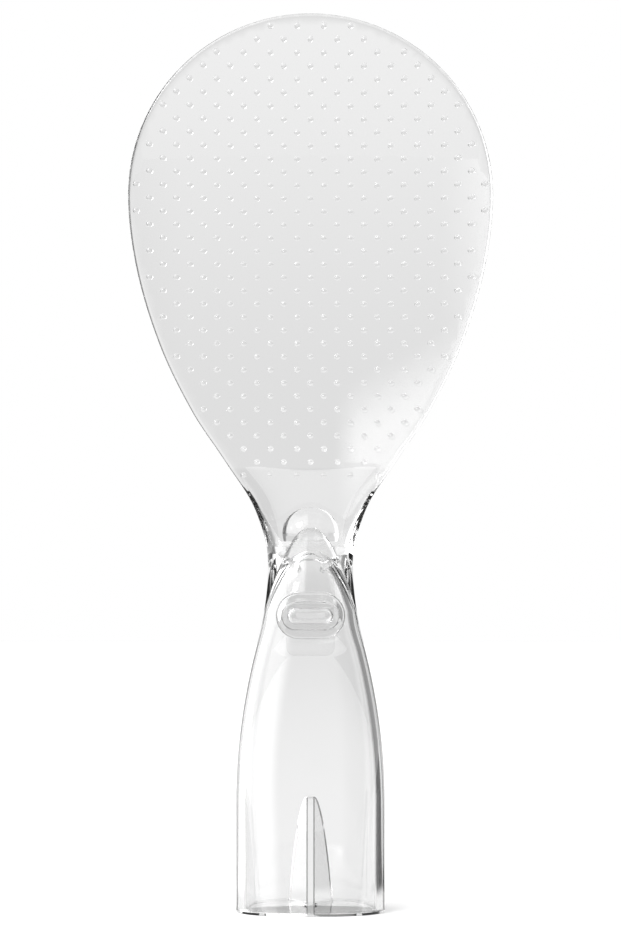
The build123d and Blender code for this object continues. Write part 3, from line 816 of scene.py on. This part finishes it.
def bow(z, wide, deep, facing, base):
    """Rounded half section at height z, from left to right before the plane y = base, or behind it."""
    points = []
    for turn in spread(0, math.pi, RING_POINTS // 2 + 1):
        across, out = section_point(turn)
        points.append((-across * wide, base + facing * max(out, 0) * deep, z))
    return points


def hood(low, drop=0, inset=0, spare=0):
    """Solid of the front shell's outside, or of its cavity, which runs on behind the parting plane."""
    shoulder = SHOULDER_HEIGHT - drop
    base = PARTING_Y - CONTACT_GAP / 2
    heights = spread(low, shoulder, SHELL_RINGS)[:-1]
    heights += crowded(shoulder, ARCH_APEX_HEIGHT - ARCH_TIP_FLAT - drop, SHELL_RINGS)
    rings = []
    for z in heights:
        wide = min(arch_half_width(z, drop), half_width(z) - inset)
        line = bow(z, wide, front_depth(z, drop, inset), -1, base)
        rings.append([(-wide, base + spare, z), *line, (wide, base + spare, z)] if spare else line)
    return lofted("hood", rings)


def stepped(name, steps):
    """Closed skin through ovals at the boss's height, each given by length, width and place along Y."""
    rings = [[(x, y, z) for x, z in oval_outline(length, width, BOSS_HEIGHT)] for length, width, y in steps]
    return lofted(name, rings)


def rounded_oval(length, width, front, back, edge):
    """Oval block along Y with its front edge rounded."""
    steps = [(length - 2 * inset, width - 2 * inset, front + fall) for inset, fall in rounding(edge)]
    return stepped("oval", [*steps, (length, width, back)])


window = oval_outline(WINDOW_LENGTH, WINDOW_WIDTH, BOSS_HEIGHT)
boss_back_y = WINDOW_FLOOR_Y + WINDOW_FLOOR
front_shell = combined(
    hood(PLATE_THICKNESS + CONTACT_GAP),
    ("DIFFERENCE", hood(0, ARCH_CAVITY_DROP, WALL, WALL)),
    ("UNION", rounded_oval(BOSS_LENGTH, BOSS_WIDTH, BOSS_FRONT_Y, boss_back_y, BOSS_EDGE_RADIUS)),
    ("DIFFERENCE", prism("window", window, -CUT_SPARE, WINDOW_FLOOR_Y)),
    ("DIFFERENCE", cutter(leg_slot)),
    *pin_cuts(PIN_FRONT_Y - PIN_CLEARANCE, 0),
)
finished(front_shell, "front_shell", "clear_shell", "handle_front_shell")


def fold(grow, low):
    """Wedge that presses the fold into the back, from the height low to the fold's top."""
    slope = (FOLD_HALF_WIDTH - FOLD_NOSE_HALF_WIDTH) / FOLD_DEPTH
    top = FOLD_HEIGHT + grow
    mouth = PARTING_Y + FOOT_BACK_DEPTH + CUT_SPARE / 4
    nose_half = FOLD_NOSE_HALF_WIDTH + grow * (math.hypot(1, slope) - slope)
    rings = []
    for z in crowded(low, top, SHELL_RINGS):
        depth = (FOLD_DEPTH + grow) * math.sqrt(max(1 - max(z, 0) / top, 0))
        nose = PARTING_Y + back_depth(max(z, 0)) - depth
        mouth_half = nose_half + (mouth - nose) * slope
        corners = (-nose_half, nose), (nose_half, nose), (mouth_half, mouth), (-mouth_half, mouth)
        rings.append([(x, y, z) for x, y in corners])
    return lofted("fold", rings)


def back_solid(low, high, inset=0):
    """Solid of the back shell's outside, or of its cavity where inset is the wall."""
    rings = []
    for z in spread(low, high, 2 * SHELL_RINGS):
        middle = PARTING_Y
        front = front_depth(min(max(z, 0), SHOULDER_HEIGHT), 0, 0)
        back = back_depth(max(z, 0))
        if z > ARCH_FOOT_HEIGHT:
            rise = (z - ARCH_FOOT_HEIGHT) / (SEAM_HEIGHT - ARCH_FOOT_HEIGHT)
            middle = PARTING_Y + (SEAM_MIDDLE_Y - PARTING_Y) * rise**2 * (3 - 2 * rise)
            front += (SEAM_MIDDLE_Y - PARTING_Y + ROOT_FRONT_TRIM - front) * rise
            back = PARTING_Y + back - middle
        rings.append(ring(z, half_width(z) - inset, front - inset, back - inset, middle))
    return lofted("back", rings)


below = -CUT_SPARE / 4
slot_reach = TANG_HALF_WIDTH + 2 * PIN_CLEARANCE
slot_back = TANG_FRONT_Y + TANG_THICKNESS + 2 * PIN_CLEARANCE
back_front_y = PARTING_Y + CONTACT_GAP / 2
parting_cut = (-CUT_SPARE, -CUT_SPARE, below), (CUT_SPARE, back_front_y, SEAM_HEIGHT + CUT_SPARE)
tang_slot = (-slot_reach, -CUT_SPARE, ARCH_FOOT_HEIGHT), (slot_reach, slot_back, SEAM_HEIGHT + WALL)
back_cavity = combined(
    back_solid(below, SEAM_HEIGHT - TOP_WALL, WALL),
    ("DIFFERENCE", fold(FOLD_WALL, 2 * below)),
)
back_shell = combined(
    back_solid(PLATE_THICKNESS + CONTACT_GAP, SEAM_HEIGHT - CONTACT_GAP),
    ("DIFFERENCE", block("before", *parting_cut)),
    ("DIFFERENCE", fold(0, below)),
    ("DIFFERENCE", back_cavity),
    ("DIFFERENCE", block("slot", *tang_slot)),
    *pin_cuts(-CUT_SPARE, PIN_BACK_Y + PIN_CLEARANCE),
)
finished(back_shell, "back_shell", "clear_shell", "handle_back_shell")


# Foot plate: a thin flat plate welded under the shells, with a low rim inside that locates it. The paddle
# stands on it. The fold runs on through its back edge.
RIM_TOP = PLATE_THICKNESS + 0.0005
RIM_THICKNESS = 0.0006
RIM_GAP = 0.00015
PLATE_EDGE_RADIUS = 0.00005


def foot_solid(low, high, inset=0, edge=0):
    """Solid with the outline of both shells, inset all round, its lower edge rounded by the radius edge."""
    steps = [(trim, low + fall) for trim, fall in rounding(edge)] if edge else [(0, low)]
    rings = []
    for trim, z in [*steps, (0, high)]:
        wide = FOOT_HALF_WIDTH - inset - trim
        front = bow(z, wide, front_depth(0, 0, inset + trim), -1, PARTING_Y)
        back = bow(z, wide, back_depth(0) - inset - trim, 1, PARTING_Y)
        rings.append(front[:-1] + [(x, y, z) for x, y, z in reversed(back[1:])])
    return lofted("foot", rings)


rim_inset = WALL + RIM_GAP
rim_fold = FOLD_WALL + RIM_GAP
rim_hollow = combined(
    foot_solid(below, RIM_TOP + WALL, rim_inset + RIM_THICKNESS),
    ("DIFFERENCE", fold(rim_fold + RIM_THICKNESS, 2 * below)),
)
rim = combined(
    foot_solid(PLATE_THICKNESS / 2, RIM_TOP, rim_inset),
    ("DIFFERENCE", fold(rim_fold, below)),
    ("DIFFERENCE", rim_hollow),
)
foot_plate = combined(
    foot_solid(0, PLATE_THICKNESS, edge=PLATE_EDGE_RADIUS),
    ("DIFFERENCE", fold(0, below)),
    ("UNION", rim),
)
finished(foot_plate, "foot_plate", "clear_shell", "foot_plate")


# Locking stud: an oval clear button with a dished face in the boss's window, on a flat leg that goes back
# through the tang and so keeps scoop and handle together. Two clear pins run through the tang above it.
STUD_CLEARANCE = 0.00015
STUD_LENGTH = WINDOW_LENGTH - 2 * STUD_CLEARANCE
STUD_WIDTH = WINDOW_WIDTH - 2 * STUD_CLEARANCE
STUD_EDGE_RADIUS = 0.0005
STUD_DISH_LENGTH = 0.0104
STUD_DISH_WIDTH = 0.0036
STUD_DISH_DEPTH = 0.0012
LEG_BACK_Y = TANG_FRONT_Y + TANG_THICKNESS + 0.0008


def stud_cap():
    """Skin from the dish's floor up its rounded wall, over the rounded edge and back along the side."""
    dish = [
        (STUD_DISH_LENGTH - 2 * inset, STUD_DISH_WIDTH - 2 * inset, STUD_FRONT_Y + STUD_DISH_DEPTH - fall)
        for inset, fall in rounding(STUD_DISH_DEPTH, 2 * EDGE_STEPS)
    ]
    edge = [
        (STUD_LENGTH - 2 * inset, STUD_WIDTH - 2 * inset, STUD_FRONT_Y + fall)
        for inset, fall in rounding(STUD_EDGE_RADIUS, 2 * EDGE_STEPS)
    ]
    return stepped("cap", [*dish, *edge, (STUD_LENGTH, STUD_WIDTH, WINDOW_FLOOR_Y - CONTACT_GAP)])


leg = oval_outline(LEG_LENGTH, LEG_THICKNESS, BOSS_HEIGHT)
stud = combined(
    stud_cap(),
    ("UNION", prism("leg", leg, WINDOW_FLOOR_Y - WALL / 2, LEG_BACK_Y)),
)
finished(stud, "stud", "clear_fitting", "locking_stud")

pins = combined(pin(-1, 0, PIN_FRONT_Y, PIN_BACK_Y), ("UNION", pin(1, 0, PIN_FRONT_Y, PIN_BACK_Y)))
finished(pins, "pins", "clear_fitting", "tang_pins")
